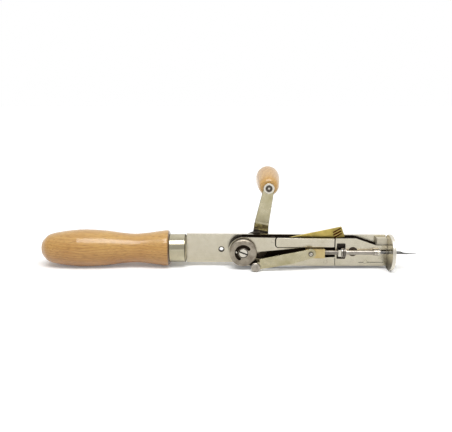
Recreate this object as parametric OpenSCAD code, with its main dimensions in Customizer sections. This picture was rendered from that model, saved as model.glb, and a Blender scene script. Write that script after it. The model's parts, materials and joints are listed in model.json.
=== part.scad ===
// Hand-cranked rug punch needle.
// X runs along the tool towards the needle point, Y runs from the crank disc's face to the crank
// knob, Z is up. The origin is on the needle axis, in the front face of the presser foot.

/* [Grip] */
// Length of the turned wooden grip
grip_len = 115; // [100:1:130]
// Largest diameter of the grip
grip_d = 33.4; // [31:0.2:36]
// Height of the grip's axis above the needle's axis
grip_z = 0.8; // [0:0.1:1]
// Diameter of the grip's waist
waist_d = 25.8; // [25:0.2:28]
// Outside diameter of the ferrule
ferrule_d = 25.2; // [22:0.2:27]
// Length of the ferrule
ferrule_len = 15; // [12:0.5:20]
// Wall of the ferrule
ferrule_wall = 1; // [0.8:0.1:1.5]
// Length of the tang inside the grip
tang_len = 60; // [40:1:80]
// Height of the tang
tang_h = 8; // [6:0.5:12]

/* [Frame] */
// Height of the back bar
bar_h = 28; // [27:0.5:31]
// Thickness of the back bar
bar_t = 3; // [2.5:0.1:4]
// Height of the front plate
plate_h = 26; // [25.5:0.5:30]
// Thickness of the front plate
plate_t = 2; // [1.6:0.1:2.4]
// Space between the back bar and the front plate
channel_w = 6; // [5.6:0.1:8]
// Distance from the needle axis to the front plate
needle_off = 3; // [2.9:0.1:3.6]
// Distance from the ferrule to the drive shaft
neck_len = 50.5; // [40:0.5:60]
// Distance from the drive shaft to the foot's front face
head_len = 130.5; // [128:0.5:136]
// How much lower the bar's neck ends above its bottom edge
neck_rise = 2; // [0:0.5:4]
// Radius of the hole in the back bar
hang_r = 1.8; // [1.4:0.1:2.4]
// Radius of the pillars between the plates
pillar_r = 3; // [2.6:0.1:3.4]

/* [Gears] */
// Tooth module of the gear pair
gear_m = 0.65; // [0.62:0.01:0.68]
// Teeth on the crank gear
crank_teeth = 24; // [24:2:26]
// Teeth on the pinion
pinion_teeth = 16; // [16:2:18]
// Width of the gears
gear_w = 3.6; // [3:0.1:4]
// Radius of both shafts
shaft_r = 2.6; // [2.2:0.1:2.8]

/* [Drive disc] */
// Radius of the face disc
disc_r = 12; // [11:0.2:12.2]
// Thickness of the face disc
disc_t = 3.2; // [2.8:0.1:3.6]
// Throw of the crank pin
throw_r = 16; // [15.6:0.1:16.4]
// Thickness of the crank web behind the disc
web_t = 2; // [1.6:0.1:2.2]

/* [Connecting rod and needle] */
// Distance between the rod's two pins
rod_len = 49.7; // [48:0.1:52]
// Thickness of the rod
rod_t = 2; // [1.5:0.1:3]
// Radius of the needle bar
bar_r = 2; // [1.8:0.1:2.2]
// Outer radius of the needle
needle_r = 1.3; // [1.1:0.05:1.5]
// Length of needle that stands out of the foot
needle_out = 21.6; // [18:0.2:26]

/* [Crank] */
// Distance from the crank axis to the knob's pin
crank_r = 54.5; // [45:0.5:58]
// Width of the arm at the hub
arm_w0 = 13.2; // [12:0.2:15]
// Width of the arm at the tip
arm_w1 = 9.4; // [8:0.2:11]
// Thickness of the arm
arm_t = 2; // [1.6:0.1:2.5]
// How far the arm steps outwards
arm_step = 6; // [5:0.5:9]
// How far the arm leans back above its step, in degrees
arm_lean = 8; // [0:0.5:9]
// Radius of the dark hub disc
hub_r = 15; // [12:0.1:15.4]
// Thickness of the dark hub disc
hub_t = 4.5; // [2:0.1:5]
// Length of the wooden knob
knob_len = 38; // [30:1:45]
// Largest diameter of the knob
knob_d = 22; // [18:0.2:24]

/* [Foot and thumb lever] */
// Diameter of the presser foot
foot_d = 32; // [30:0.5:34]
// Thickness of the presser foot
foot_t = 3; // [2:0.1:4]
// Width of the thumb lever
lever_w = 9.6; // [8:0.2:10]
// Length of the thumb lever from its pin to its tip
lever_len = 49.5; // [44:0.5:50]
// Thickness of the thumb lever
lever_t = 2; // [1.5:0.1:3]

/* [Hidden] */

$fn = 64;
fit = 0.05;      // running clearance on a radius
seat = 0.02;     // clearance of a fixed piece in its seat
slip = 0.3;      // free space between pieces that pass each other
soft_edge = 0.5; // small chamfer on turned pieces
pitch_deg = 360; // one turn

nickel = [0.80, 0.78, 0.71];
bright = [0.90, 0.89, 0.85];
dark_steel = [0.50, 0.47, 0.42];
black_steel = [0.16, 0.15, 0.14];
brass = [0.78, 0.66, 0.36];
beech = [0.80, 0.60, 0.36];

// Layers across the tool, from the camera's side to the back
plate_y0 = needle_off;
plate_y1 = plate_y0 + plate_t;
back_y0 = plate_y1 + channel_w;
back_y1 = back_y0 + bar_t;
bar_mid = (back_y0 + back_y1) / 2;
gear_y0 = plate_y1 + (channel_w - gear_w) / 2;
gear_y1 = gear_y0 + gear_w;
web_y1 = plate_y0 - slip - 0.1;
web_y0 = web_y1 - web_t;
disc_y0 = web_y0 - disc_t;
rod_y1 = disc_y0 - slip - 0.1;
rod_y0 = rod_y1 - rod_t;

// Stations along the tool
drive_x = -head_len;
crank_x = drive_x + gear_m * (crank_teeth + pinion_teeth) / 2;
ferrule_x = drive_x - neck_len;
grip_x = ferrule_x - ferrule_len;
butt_x = grip_x - grip_len;
pin_deg = -48;
pin_x = drive_x + throw_r * cos(pin_deg);
pin_z = throw_r * sin(pin_deg);
rod_deg = asin(-pin_z / rod_len);
wrist_x = pin_x + rod_len * cos(rod_deg);
foot_x0 = -foot_t;

// Ear of the front plate round the drive shaft
ear_r = plate_h / 2;
bush_r = shaft_r + 2.2;

// Sliding pieces
holder_len = 5.4;
holder_x1 = foot_x0 - 7.3;
holder_x0 = holder_x1 - holder_len;
holder_r = 2.8;
head_x1 = wrist_x + 12.6;
head_top = 3.4;
head_bottom = -4.6;
head_half_y = rod_y1 * -1 - 0.3;

// Guide for the needle bar
guide_x1 = holder_x0 - 24.8;
bushing_len = 4;
nut_len = 2.8;
bushing_r = 4.4;
guide_x0 = guide_x1 - bushing_len - nut_len;
guide_top = 7;
guide_low = -6.2;

// Window in the front plate
window_x1 = guide_x0 - 1.8;
window_top = 3.6;
window_low = -6.4;
strip_off = 29;
strip_x0 = drive_x + strip_off;
strip_gap = 0.9;
strip_x1 = window_x1 - strip_gap;
strip_z0 = 4.2;
strip_t = 1.4;
corner_r = 2.2;

// Pillars that join the plates, as x and z
tenon_r = 1.7;
pillar_z = plate_h / 2 - pillar_r - 0.6;
pillar_off = 26.5;
mid_pillar_off = 10;
nose_pillar_off = 19;
screw_post_off = 30.5;
pillar_at = [[drive_x + pillar_off, -pillar_z], [drive_x + pillar_off, pillar_z],
    [guide_x0 - mid_pillar_off, -pillar_z], [foot_x0 - nose_pillar_off, -pillar_z]];
screw_post_x = foot_x0 - screw_post_off;
screw_head_r = 4.2;
screw_head_t = 0.8;
screw_core_r = 1.1;

// Thumb lever
lever_deg = 11.9;
lever_x = drive_x + 38.5;
lever_z = 6.4;
lever_pin_r = 1.5;
lever_y0 = plate_y1 + (channel_w - lever_t) / 2;

// Crank
crank_deg = 11;
shaft_end = 0.6; // how far the shafts stand out of the back bar and the nut
hub_y0 = back_y1 + shaft_end + slip;
arm_y0 = hub_y0 + hub_t;
arm_y1 = arm_y0 + arm_t;
step_z = 16; // where the arm's step starts
step_rise = 4; // how high it is
bend_cut = 2.2; // how far from a corner its rounding starts
rivet_r = 2.3;
washer_t = 0.7;
knob_y0 = arm_t + 0.3; // from the front face of the arm's head
knob_y1 = knob_y0 + knob_len;
nut_t = 3;

// The arm's front face as a line of depth and height, up through its step
arm_foot = [arm_y0, -20];
arm_low = [arm_y0, step_z];
arm_high = [arm_y0 + arm_step, step_z + step_rise];
arm_top = arm_high + (crank_r + 20) * [-sin(arm_lean), cos(arm_lean)];
head_y = arm_high[0] - (crank_r - arm_high[1]) * tan(arm_lean);

// A round bar along Y
module pin_y(x, z, y0, y1, r) {
    translate([x, y0, z]) rotate([-90, 0, 0]) cylinder(r = r, h = y1 - y0);
}

// A round bar along X on the needle axis
module pin_x(x0, x1, r) {
    translate([x0, 0, 0]) rotate([0, 90, 0]) cylinder(r = r, h = x1 - x0);
}

// A flat piece between two depths, from an outline drawn as seen from the front
module slab(y0, y1) {
    translate([0, y1, 0]) rotate([90, 0, 0]) linear_extrude(y1 - y0) children();
}

// A turned piece along X that starts at x0, from an outline of radius and length
module turned_x(x0, y, z) {
    translate([x0, y, z]) rotate([0, 90, 0]) rotate_extrude() children();
}

// A point on a smooth curve between b and c
function curve(a, b, c, d, t) =
    (2 * b + (c - a) * t + (2 * a - 5 * b + 4 * c - d) * t * t + (3 * b - a - 3 * c + d) * t * t * t) / 2;

// A smooth line through all the points, with n steps for each stretch
function smooth(p, n) = concat(
    [for (i = [0 : len(p) - 2]) for (k = [0 : n - 1])
        curve(p[max(i - 1, 0)], p[i], p[i + 1], p[min(i + 2, len(p) - 1)], k / n)],
    [p[len(p) - 1]]);

// A step of length 1 from a towards b, and one at its right side
function unit(v) = v / norm(v);
function side(a, b) = let(d = unit(b - a)) [d[1], -d[0]];

// Point i of the line p, moved sideways by t
function beside(p, i, t) = let(n0 = side(p[max(i - 1, 0)], p[max(i, 1)]),
    n1 = side(p[min(i, len(p) - 2)], p[min(i + 1, len(p) - 1)])) p[i] + t * (n0 + n1) / (1 + n0 * n1);

// A rounded corner at p between a and b
function bent(a, p, b, cut) = let(q = p + cut * unit(a - p), r = p + cut * unit(b - p))
    [for (k = [0 : 4]) let(s = k / 4) (1 - s) * (1 - s) * q + 2 * s * (1 - s) * p + s * s * r];

// Involute tooth: how far the flank has turned at radius r, in degrees
function involute(r, rb) = r <= rb ? 0 : let(a = acos(rb / r)) tan(a) * 180 / PI - a;

// Half the angle of a tooth at radius r
function half_tooth(r, rp, rb, teeth, play) =
    90 / teeth - play / (2 * rp) * 180 / PI + involute(rp, rb) - involute(r, rb);

function ring_point(r, a) = [r * cos(a), r * sin(a)];

// Outline of a spur gear
function gear_outline(teeth, m, play) =
    let(rp = m * teeth / 2, rb = rp * cos(20), tip = rp + 0.9 * m, root = rp - 1.2 * m,
        steps = [rb, rp, (rp + tip) / 2, tip])
    [for (i = [0 : teeth - 1]) let(mid = i * pitch_deg / teeth) each concat(
        [ring_point(root, mid - half_tooth(rb, rp, rb, teeth, play) - 1)],
        [for (r = steps) ring_point(r, mid - half_tooth(r, rp, rb, teeth, play))],
        [for (k = [len(steps) - 1 : -1 : 0])
            ring_point(steps[k], mid + half_tooth(steps[k], rp, rb, teeth, play))],
        [ring_point(root, mid + half_tooth(rb, rp, rb, teeth, play) + 1)])];

module spur_gear(x, teeth, turn, bore) {
    difference() {
        slab(gear_y0, gear_y1) translate([x, 0]) rotate(turn) polygon(gear_outline(teeth, gear_m, 0.12));
        pin_y(x, 0, gear_y0 - 1, gear_y1 + 1, bore);
    }
}

// Grip and ferrule
spigot_r = ferrule_d / 2 - ferrule_wall - seat;
spigot_len = ferrule_len - ferrule_wall - 0.5;
grip_shape = [[0, 0], [4.4, 0.5], [8.7, 3], [13.4, 10.5], [grip_d / 2, grip_len * 0.3],
    [grip_d / 2 - 0.9, grip_len * 0.5], [(grip_d + waist_d) / 4 - 0.9, grip_len * 0.62],
    [waist_d / 2, grip_len * 0.73], [waist_d / 2 + 0.9, grip_len * 0.83],
    [grip_d / 2 - 1.5, grip_len * 0.92], [grip_d / 2 - 0.65, grip_len - 3],
    [grip_d / 2 - 1.1, grip_len - 1], [grip_d / 2 - 2.2, grip_len]];

module grip() color(beech) difference() {
    turned_x(butt_x, bar_mid, grip_z) polygon(concat(smooth(grip_shape, 4),
        [[spigot_r, grip_len], [spigot_r, grip_len + spigot_len], [0, grip_len + spigot_len]]));
    translate([ferrule_x - tang_len - 1, bar_mid - bar_t / 2 - 0.1, -tang_h / 2 - 0.1])
        cube([tang_len + 2, bar_t + 0.2, tang_h + 0.2]);
}

module ferrule() color(bright) difference() {
    turned_x(grip_x, bar_mid, grip_z) polygon([[0, 0], [ferrule_d / 2, 0], [ferrule_d / 2, ferrule_len - 1.4],
        [ferrule_d / 2 - 0.5, ferrule_len - 0.4], [ferrule_d / 2 - 1.4, ferrule_len], [0, ferrule_len]]);
    turned_x(grip_x - 1, bar_mid, grip_z) square([ferrule_d / 2 - ferrule_wall, ferrule_len - ferrule_wall + 1]);
    translate([grip_x, bar_mid - bar_t / 2 - 0.1, -tang_h / 2 - 0.1])
        cube([ferrule_len + 1, bar_t + 0.2, tang_h + 0.2]);
}

// Back bar with its tang, the holes for the shafts and the pillars
hang_off = 19.2;
module back_bar() color(nickel) difference() {
    slab(back_y0, back_y1) {
        polygon([[ferrule_x + 0.2, neck_rise - bar_h / 2], [drive_x - 6, neck_rise - bar_h / 2],
            [drive_x - 2, -bar_h / 2], [foot_x0, -bar_h / 2], [foot_x0, bar_h / 2],
            [ferrule_x + 0.2, bar_h / 2]]);
        translate([ferrule_x - tang_len, -tang_h / 2]) square([tang_len + 1, tang_h]);
    }
    pin_y(drive_x - hang_off, 0, back_y0 - 1, back_y1 + 1, hang_r);
    for (x = [drive_x, crank_x]) pin_y(x, 0, back_y0 - 1, back_y1 + 1, bush_r + seat);
    for (p = pillar_at) pin_y(p[0], p[1], back_y0 - 1, back_y1 + 1, tenon_r + seat);
    pin_y(screw_post_x, 0, back_y0 - 1, back_y1 + 1, tenon_r + seat);
    pin_y(lever_x, lever_z, back_y0 - 1, back_y1 + 1, lever_pin_r + seat);
}

// Outline of the strip above the crosshead, with two round corners, grown by g on its free sides
module strip_outline(g) difference() {
    translate([strip_x0 - g, strip_z0 - g]) square([strip_x1 - strip_x0 + 2 * g, ear_r - strip_z0 + g]);
    for (s = [0, 1]) translate([strip_x0, s == 0 ? strip_z0 : ear_r]) mirror([0, s]) difference() {
        translate([-g - 1, -g - 1]) square([corner_r + g + 1, corner_r + g + 1]);
        translate([corner_r, corner_r]) circle(r = corner_r + g);
    }
}

// Front plate: round ear, sloping window and sloping nose, with a groove round the strip
strip_groove = 1.2;
seam_x = foot_x0 - 46.3;
seam_w = 0.5;
fold_z = -10.1;
module front_plate() color(nickel) difference() {
    slab(plate_y0, plate_y1) difference() {
        union() {
            translate([drive_x, 0]) circle(r = ear_r);
            polygon([[drive_x, -ear_r], [foot_x0, -ear_r], [foot_x0, 3.4], [foot_x0 - 10, 3.4],
                [foot_x0 - 35, ear_r], [drive_x, ear_r]]);
        }
        polygon([[crank_x - 1.5, window_low], [crank_x - 1.5, -0.4], [wrist_x - 4, window_top],
            [window_x1, window_top], [window_x1, window_low + 1.4], [wrist_x - 4, window_low]]);
        translate([guide_x0 - slip, guide_low - slip])
            square([guide_x1 - guide_x0 + 2 * slip, guide_top - guide_low + 2 * slip]);
    }
    slab(plate_y0 - 1, plate_y0 + strip_groove) difference() {
        strip_outline(strip_gap);
        strip_outline(0);
    }
    translate([seam_x, plate_y0 - 1, -ear_r - 1]) cube([seam_w, 1.6, ear_r + window_low + 1.5]);
    translate([foot_x0 - 25, plate_y0 - 1, fold_z]) cube([22, 1.4, seam_w]);
    pin_y(drive_x, 0, plate_y0 - 1, plate_y1 + 1, bush_r + seat);
    for (p = pillar_at) pin_y(p[0], p[1], plate_y0 - 1, plate_y1 + 1, tenon_r + seat);
    pin_y(screw_post_x, 0, plate_y0 - 1, plate_y1 + 1, tenon_r + seat);
    pin_y(screw_post_x, 0, plate_y0 - 1, plate_y0 + screw_head_t, screw_head_r + seat);
    pin_y(lever_x, lever_z, plate_y0 - 1, plate_y1 + 1, lever_pin_r + seat);
}

// Shouldered pillars, riveted flush in both plates, with a threaded one at the nose
module pillars() color(nickel) {
    for (p = pillar_at) {
        pin_y(p[0], p[1], plate_y1, back_y0, pillar_r);
        pin_y(p[0], p[1], plate_y0, back_y1, tenon_r);
    }
    difference() {
        union() {
            pin_y(screw_post_x, 0, plate_y1, back_y0, pillar_r);
            pin_y(screw_post_x, 0, back_y0, back_y1, tenon_r);
        }
        pin_y(screw_post_x, 0, plate_y1 - 1, back_y0 - 1.5, screw_core_r + seat);
    }
}

// Round screw that holds the nose, its slotted head sunk level with the plate
module pillar_screw() color(dark_steel) difference() {
    union() {
        pin_y(screw_post_x, 0, plate_y0, plate_y0 + screw_head_t, screw_head_r);
        pin_y(screw_post_x, 0, plate_y0 + screw_head_t, plate_y1, tenon_r);
        pin_y(screw_post_x, 0, plate_y1, back_y0 - 2, screw_core_r);
    }
    translate([screw_post_x - 5, plate_y0 - 1, -0.4]) cube([10, 1 + screw_head_t / 2, 0.8]);
}

// Strip on the plate's face above the crosshead
module guide_strip() color(nickel) slab(plate_y0 - strip_t, plate_y0) strip_outline(0);

// Block behind the needle bar with a round seat for the bushing and nut
module guide_block() color(dark_steel) difference() {
    translate([guide_x0, 1.2, guide_low]) cube([guide_x1 - guide_x0, back_y0 - 1.2, guide_top - guide_low]);
    pin_x(guide_x0 - 1, guide_x1 + 1, bushing_r + seat);
}

module guide_bushing() color(nickel) difference() {
    pin_x(guide_x0 + nut_len + 0.1, guide_x1, bushing_r);
    pin_x(guide_x0, guide_x1 + 1, bar_r + fit);
    for (i = [0 : 3]) pin_x_groove(guide_x0 + nut_len + 0.8 + i * 0.8);
}

// Shallow ring cut in the bushing
module pin_x_groove(x) difference() {
    pin_x(x, x + 0.35, bushing_r + 1);
    pin_x(x - 0.1, x + 0.45, bushing_r - 0.3);
}

module guide_nut() color(bright) difference() {
    translate([guide_x0, -3, -3]) cube([nut_len, 6, 6]);
    pin_x(guide_x0 - 1, guide_x0 + nut_len + 1, bar_r + fit + 0.1);
}

// Foot, the block that carries it and its two screws
foot_screw_z = 8.5;
foot_screw_y = plate_y1 + channel_w / 2;
foot_block_len = 9;

module foot_hole(z, x0, x1, r) translate([x0, foot_screw_y, z]) rotate([0, 90, 0])
    cylinder(r = r, h = x1 - x0);

module foot_block() color(nickel) difference() {
    translate([foot_x0 - foot_block_len, plate_y1, -11.5]) cube([foot_block_len, channel_w, 23]);
    for (z = [-foot_screw_z, foot_screw_z]) foot_hole(z, foot_x0 - 6.5, foot_x0 + 1, 1.1 + seat);
}

module presser_foot() color(bright) difference() {
    turned_x(foot_x0, 0, 0) polygon([[0, 0], [foot_d / 2 - soft_edge, 0], [foot_d / 2, soft_edge],
        [foot_d / 2, foot_t - soft_edge], [foot_d / 2 - soft_edge, foot_t], [0, foot_t]]);
    pin_x(foot_x0 - 1, 1, needle_r + 0.35);
    for (z = [-foot_screw_z, foot_screw_z]) {
        foot_hole(z, foot_x0 - 1, 1, 1.1 + seat);
        foot_hole(z, -1.4, 1, 2.2 + seat);
    }
}

module foot_screws() color(dark_steel) for (z = [-foot_screw_z, foot_screw_z]) difference() {
    union() {
        foot_hole(z, foot_x0 - 6, -1.4, 1.1);
        foot_hole(z, -1.4, -0.2, 2.2);
    }
    translate([-0.7, foot_screw_y - 3, z - 0.25]) cube([1, 6, 0.5]);
}

// Brass thumb lever between the plates, with grip grooves at its tip
module lever_pin() color(dark_steel) pin_y(lever_x, lever_z, plate_y0, back_y1, lever_pin_r);

module thumb_lever() color(brass) translate([lever_x, 0, lever_z]) rotate([0, -lever_deg, 0])
    difference() {
        slab(lever_y0, lever_y0 + lever_t) {
            circle(r = lever_w / 2);
            translate([0, -lever_w / 2]) square([lever_len, lever_w]);
        }
        pin_y(0, 0, lever_y0 - 1, lever_y0 + lever_t + 1, lever_pin_r + fit);
        for (s = [-1, 0, 1]) translate([lever_len - 4.6, lever_y0 - 1, s * lever_w / 4]) rotate([0, -18, 0])
            translate([-3.8, 0, -0.6]) cube([7.6, 1.6, 1.2]);
    }

// Bushes in the plates
module bush(x, y0, y1) difference() {
    pin_y(x, 0, y0, y1, bush_r);
    pin_y(x, 0, y0 - 1, y1 + 1, shaft_r + fit);
}

module drive_bushes() color(brass) {
    bush(drive_x, plate_y0, plate_y1 + 0.4);
    bush(drive_x, back_y0 - 0.4, back_y1);
}

module crank_bush() color(brass) bush(crank_x, back_y0 - 0.4, back_y1 + 0.2);

// Crank shaft, gear, hub disc, arm and nut
module crank_shaft() color(dark_steel)
    pin_y(crank_x, 0, gear_y0 - slip, arm_y1 + nut_t + shaft_end, shaft_r);

module crank_gear() color(dark_steel) spur_gear(crank_x, crank_teeth, 0, shaft_r + seat);

module hub_disc() color(black_steel) difference() {
    translate([crank_x, hub_y0, 0]) rotate([-90, 0, 0]) rotate_extrude() polygon([[0, 0],
        [hub_r - soft_edge, 0], [hub_r, soft_edge], [hub_r, hub_t - soft_edge],
        [hub_r - soft_edge, hub_t], [0, hub_t]]);
    pin_y(crank_x, 0, hub_y0 - 1, arm_y0 + 1, shaft_r + seat);
}

// Places a piece on the crank, where local Z runs along the arm
module on_crank() translate([crank_x, 0, 0]) rotate([0, crank_deg, 0]) children();

// Places a piece on the arm's leaning head, where Y runs from its front face along the knob
module on_arm_head() on_crank() translate([0, head_y, crank_r]) rotate([arm_lean, 0, 0]) children();

// The arm's side view, bent twice and rounded at its bends
arm_line = concat([arm_foot], bent(arm_foot, arm_low, arm_high, bend_cut),
    bent(arm_low, arm_high, arm_top, bend_cut), [arm_top]);

module arm_side() translate([-20, 0, 0]) rotate([90, 0, 90]) linear_extrude(40) polygon(concat(
    [for (i = [0 : len(arm_line) - 1]) beside(arm_line, i, arm_t)],
    [for (i = [len(arm_line) - 1 : -1 : 0]) arm_line[i]]));

module crank_arm() color(nickel) difference() {
    on_crank() intersection() {
        arm_side();
        slab(arm_y0 - 5, arm_y1 + arm_step + 5) {
            circle(r = arm_w0 / 2 + 1.4);
            polygon([[-arm_w0 / 2, 0], [arm_w0 / 2, 0], [arm_w1 / 2, crank_r], [-arm_w1 / 2, crank_r]]);
            translate([0, crank_r]) circle(r = arm_w1 / 2);
        }
    }
    on_crank() pin_y(0, 0, arm_y0 - 1, arm_y1 + 1, shaft_r + seat);
    on_arm_head() pin_y(0, 0, -1, arm_t + 1, rivet_r + seat);
}

module crank_nut() color(dark_steel) difference() {
    translate([crank_x, arm_y1, 0]) rotate([-90, 0, 0]) cylinder(r = 5.6, h = nut_t, $fn = 6);
    pin_y(crank_x, 0, arm_y1 - 1, arm_y1 + nut_t + 1, shaft_r + seat);
}

// Knob on its rivet
module knob_washer() color(bright) on_arm_head() difference() {
    pin_y(0, 0, -washer_t, 0, 4.9);
    pin_y(0, 0, -2, 1, rivet_r + seat);
}

module knob_rivet() color(dark_steel) on_arm_head() difference() {
    union() {
        pin_y(0, 0, -washer_t - 0.9, -washer_t, rivet_r + 0.7);
        pin_y(0, 0, -washer_t, knob_y1 + 0.3, rivet_r);
        pin_y(0, 0, knob_y1 + 0.3, knob_y1 + 1.3, rivet_r + 1.5);
    }
    pin_y(0, 0, -washer_t - 2, -washer_t + 0.4, rivet_r - 0.9);
}

// Barrel outline as shares of the knob's diameter and length
knob_shape = [for (p = [[0.3, 0], [0.36, 0.04], [0.42, 0.14], [0.47, 0.35], [0.5, 0.6], [0.5, 0.8],
    [0.47, 0.93], [0.38, 1]]) [p[0] * knob_d, p[1] * knob_len]];

module crank_knob() color(beech) on_arm_head() difference() {
    translate([0, knob_y0, 0]) rotate([-90, 0, 0]) rotate_extrude()
        polygon(concat([[0, 0]], smooth(knob_shape, 4), [[0, knob_len]]));
    pin_y(0, 0, knob_y0 - 1, knob_y1 + 1, rivet_r + fit);
}

// Drive shaft with its pinion, washer, web, face disc and screw
module drive_shaft() color(dark_steel) difference() {
    pin_y(drive_x, 0, disc_y0 + screw_sink, back_y1 + shaft_end, shaft_r);
    pin_y(drive_x, 0, disc_y0, disc_y0 + 6, 1.2 + seat);
}

module drive_pinion() color(dark_steel)
    spur_gear(drive_x, pinion_teeth, pitch_deg / pinion_teeth / 2, shaft_r + seat);

// Collar that keeps the shaft from sliding forwards
module drive_washer() color(dark_steel) difference() {
    pin_y(drive_x, 0, back_y1 + 0.05, back_y1 + 0.45, shaft_r + 0.8);
    pin_y(drive_x, 0, back_y1 - 1, back_y1 + 1, shaft_r + seat);
}

web_hub_r = 7;
web_end_r = 3.4;
module crank_web() color(black_steel) difference() {
    union() {
        slab(web_y0, web_y1) {
            translate([drive_x, 0]) circle(r = web_hub_r);
            translate([drive_x, 0]) rotate(pin_deg) translate([0, -web_end_r]) square([throw_r, 2 * web_end_r]);
            translate([pin_x, pin_z]) circle(r = web_end_r);
        }
        pin_y(pin_x, pin_z, disc_y0, web_y1, web_end_r - 0.2);
    }
    pin_y(drive_x, 0, web_y0 - 1, web_y1 + 1, shaft_r + seat);
}

slot_r0 = 4.6;
slot_r1 = 7.4;
slot_from = 37;
slot_to = 236;
slot_depth = 1.5;
screw_r = 3.7;
screw_sink = 1.6; // depth of the seat for the screw's head

module on_disc_face(y) translate([drive_x, y, 0]) rotate([90, 0, 0]) children();

module face_disc() color(dark_steel) difference() {
    on_disc_face(web_y0) rotate_extrude() polygon([[0, 0], [disc_r, 0], [disc_r, disc_t - 0.8],
        [disc_r - 0.8, disc_t], [0, disc_t]]);
    pin_y(drive_x, 0, disc_y0 - 1, web_y0 + 1, shaft_r + seat);
    pin_y(drive_x, 0, disc_y0 - 1, disc_y0 + screw_sink, screw_r + 0.25);
    on_disc_face(disc_y0 + slot_depth) {
        rotate(slot_from) rotate_extrude(angle = slot_to - slot_from) translate([slot_r0, 0])
            square([slot_r1 - slot_r0, slot_depth + 1]);
        for (a = [slot_from, slot_to]) rotate(a) translate([(slot_r0 + slot_r1) / 2, 0])
            cylinder(r = (slot_r1 - slot_r0) / 2, h = slot_depth + 1);
    }
}

module disc_screw() color(bright) difference() {
    union() {
        pin_y(drive_x, 0, disc_y0 + 0.1, disc_y0 + screw_sink, screw_r);
        pin_y(drive_x, 0, disc_y0 + screw_sink, disc_y0 + 5.6, 1.2);
    }
    translate([drive_x, disc_y0, 0]) rotate([0, 22, 0]) translate([-5, -0.4, -0.55]) cube([10, 1.2, 1.1]);
}

module disc_stop_pin() color(bright) translate([drive_x, 0, 0]) rotate([0, -174, 0])
    pin_y((slot_r0 + slot_r1) / 2, 0, disc_y0 + 0.2, disc_y0 + slot_depth, 0.8);

// Connecting rod, drawn along its own length from the crank pin to the wrist pin
eye_r = 3.7;
rod_end_r = 4.3;

module connecting_rod() color(nickel) translate([pin_x, 0, pin_z]) rotate([0, -rod_deg, 0]) difference() {
    slab(rod_y0, rod_y1) {
        circle(r = eye_r);
        polygon([[0, 1.2 - eye_r], [16, -3.9], [rod_len - 16, -4.8], [rod_len, 0.3 - rod_end_r], [rod_len, rod_end_r - 0.3],
            [5.2, 6], [4.6, eye_r - 0.5], [0, eye_r - 0.5]]);
        translate([rod_len, 0]) circle(r = rod_end_r);
    }
    pin_y(0, 0, rod_y0 - 1, rod_y1 + 1, 2 + seat);
    pin_y(rod_len, 0, rod_y0 - 1, rod_y1 + 1, 1.6 + fit);
}

module crank_pin() color(bright) {
    translate([pin_x, rod_y0, pin_z]) rotate([90, 0, 0]) rotate_extrude() polygon([[0, 0], [4.1, 0],
        [4.1, 1.6], [3.5, 2.2], [0, 2.2]]);
    pin_y(pin_x, pin_z, rod_y0, rod_y1, 2);
}

// Brass crosshead, wrist pin, needle bar, holder and needle
module crosshead() color(brass) difference() {
    translate([wrist_x - 4, -head_half_y, head_bottom])
        cube([head_x1 - wrist_x + 4, head_half_y + plate_y0 - slip, head_top - head_bottom]);
    pin_x(wrist_x + 3, head_x1 + 1, bar_r + seat);
    pin_y(wrist_x, 0, -head_half_y - 1, 0.5, 1.6 + seat);
}

wrist_head_r = 2.1;
wrist_head_t = 0.8;
module wrist_pin() color(bright) difference() {
    union() {
        pin_y(wrist_x, 0, rod_y0 - 0.1 - wrist_head_t, rod_y0 - 0.1, wrist_head_r);
        pin_y(wrist_x, 0, rod_y0 - 0.1, 0.4, 1.6);
    }
    translate([wrist_x, rod_y0 - 0.7 - wrist_head_t, 0]) rotate([0, 35, 0]) translate([-4, 0, -0.3])
        cube([8, 1, 0.6]);
}

module needle_bar() color(dark_steel) pin_x(wrist_x + 3.1, holder_x0 + 2.6, bar_r);

module needle_holder() color(nickel) difference() {
    pin_x(holder_x0, holder_x1, holder_r);
    pin_x(holder_x0 - 1, holder_x0 + 2.7, bar_r + seat);
    pin_x(holder_x0 + 2, holder_x1 + 1, needle_r + seat);
    pin_y(holder_x1 - 1.6, 0, -holder_r - 1, 0, 0.8 + seat);
}

module holder_screw() color(bright) difference() {
    union() {
        pin_y(holder_x1 - 1.6, 0, -holder_r - 1.4, -holder_r, 1.5);
        pin_y(holder_x1 - 1.6, 0, -holder_r, -needle_r - seat, 0.8);
    }
    translate([holder_x1 - 4, -holder_r - 2, -0.25]) cube([5, 1, 0.5]);
}

// Hollow needle, cut away on top so that a half-round point is left
point_len = 9.5;
point_r = 0.4;
mouth_x0 = 5.6; // where the cut starts on top
mouth_x1 = 10.4; // where it reaches the needle's middle
mouth_z = -0.05;
module needle() color(dark_steel) difference() {
    union() {
        pin_x(holder_x0 + 2.8, needle_out - point_len, needle_r);
        translate([needle_out - point_len, 0, 0]) rotate([0, 90, 0])
            cylinder(r1 = needle_r, r2 = point_r, h = point_len);
    }
    pin_x(holder_x1, needle_out - point_len - 1, needle_r * 0.6);
    slab(-5, 5) polygon([[mouth_x0, needle_r + 0.2], [mouth_x1, mouth_z], [needle_out + 1, mouth_z],
        [needle_out + 1, 4], [mouth_x0, 4]]);
}

grip();
ferrule();
back_bar();
front_plate();
pillars();
pillar_screw();
guide_strip();
guide_block();
guide_bushing();
guide_nut();
foot_block();
presser_foot();
foot_screws();
lever_pin();
drive_bushes();
crank_bush();
thumb_lever();
crank_shaft();
crank_gear();
hub_disc();
crank_arm();
crank_nut();
knob_washer();
knob_rivet();
crank_knob();
drive_shaft();
drive_pinion();
drive_washer();
crank_web();
face_disc();
disc_screw();
disc_stop_pin();
connecting_rod();
crank_pin();
crosshead();
wrist_pin();
needle_bar();
needle_holder();
holder_screw();
needle();
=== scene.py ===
"""Hand-cranked rug punch needle: finishes and broken edges on its pieces, with stage, light and camera."""

import json
import math

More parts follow.
